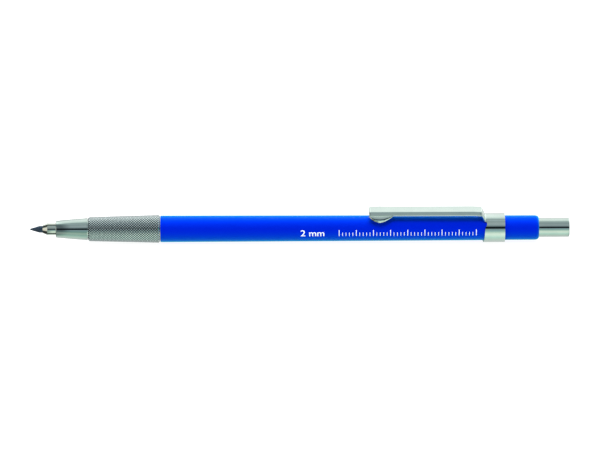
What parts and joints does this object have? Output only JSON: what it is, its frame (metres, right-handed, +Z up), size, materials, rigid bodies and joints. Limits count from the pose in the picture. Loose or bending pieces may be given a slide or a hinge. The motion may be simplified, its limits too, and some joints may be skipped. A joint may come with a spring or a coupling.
{
  "type": "lead holder",
  "caption": "Clutch pencil for 2 mm drafting lead: plastic barrel, knurled metal grip, pocket clip, spring-loaded jaws and a push button with a lead pointer inside.",
  "frame": {"origin": "centre of the length, on the ground plane under the clip band, which is the lowest part when the clip points straight up", "axes": "+X along the holder from the writing tip to the push button, +Z up through the pocket clip, +Y to the left seen from the button"},
  "size_m": [0.1576, 0.0086, 0.011],
  "materials": {
    "blue_plastic": "glossy moulded plastic",
    "chrome": "bright chrome plating",
    "jaw_chrome": "chrome plating over brass, worn at the front",
    "satin_chrome": "chrome plating over a rolled knurl",
    "brass": "turned brass",
    "steel": "drawn steel tube and blades",
    "spring_steel": "spring wire",
    "black_plastic": "moulded plastic",
    "graphite": "fired graphite and clay"
  },
  "bodies": {
    "barrel": {"barrel": "blue_plastic", "connecting_sleeve": "brass", "knurled_grip": "satin_chrome", "nose_cone": "chrome", "guide_ring": "brass", "clip_band": "chrome"},
    "clip": {"clip_arm": "chrome"},
    "clutch": {"lead_tube": "steel", "clutch_hub": "brass", "spring_collar": "brass", "button_socket": "black_plastic", "return_spring": "spring_steel"},
    "jaw_1": {"jaw_1": "jaw_chrome"},
    "jaw_2": {"jaw_2": "jaw_chrome"},
    "jaw_3": {"jaw_3": "jaw_chrome"},
    "jaw_4": {"jaw_4": "jaw_chrome"},
    "lead": {"lead": "graphite"},
    "button": {"push_button": "chrome", "pointer_plug": "black_plastic", "pointer_blade_1": "steel", "pointer_blade_2": "steel"}
  },
  "joints": [
    {"name": "press", "type": "slide", "parent": "barrel", "child": "clutch", "axis": [-1, 0, 0], "range_m": [0, 0.004], "stiffness_N_per_m": 1200, "springref_m": -0.002, "deforming": ["return_spring"]},
    {"name": "jaw_1_open", "type": "hinge", "parent": "clutch", "child": "jaw_1", "pos_m": [-0.0649, 0.00072, 0.00527], "axis": [0, 0.8165, -0.5773], "range_deg": [0, 3.5]},
    {"name": "jaw_2_open", "type": "hinge", "parent": "clutch", "child": "jaw_2", "pos_m": [-0.0649, -0.00102, 0.00497], "axis": [0, 0.5773, 0.8165], "range_deg": [0, 3.5]},
    {"name": "jaw_3_open", "type": "hinge", "parent": "clutch", "child": "jaw_3", "pos_m": [-0.0649, -0.00072, 0.00323], "axis": [0, -0.8165, 0.5773], "range_deg": [0, 3.5]},
    {"name": "jaw_4_open", "type": "hinge", "parent": "clutch", "child": "jaw_4", "pos_m": [-0.0649, 0.00102, 0.00353], "axis": [0, -0.5773, -0.8165], "range_deg": [0, 3.5]},
    {"name": "lead_feed", "type": "slide", "parent": "clutch", "child": "lead", "axis": [-1, 0, 0], "range_m": [-0.005, 0.03]},
    {"name": "button_pull_off", "type": "slide", "parent": "clutch", "child": "button", "axis": [1, 0, 0], "range_m": [0, 0.02]},
    {"name": "clip_flex", "type": "hinge", "parent": "barrel", "child": "clip", "pos_m": [0.0542, 0, 0.00795], "axis": [0, 1, 0], "range_deg": [0, 4], "stiffness_Nm_per_rad": 1.4, "springref_deg": -0.57}
  ],
  "couplings": [
    {"joint": "jaw_1_open", "follows": "press", "rad_per_m": 14.835},
    {"joint": "jaw_2_open", "follows": "press", "rad_per_m": 14.835},
    {"joint": "jaw_3_open", "follows": "press", "rad_per_m": 14.835},
    {"joint": "jaw_4_open", "follows": "press", "rad_per_m": 14.835}
  ]
}
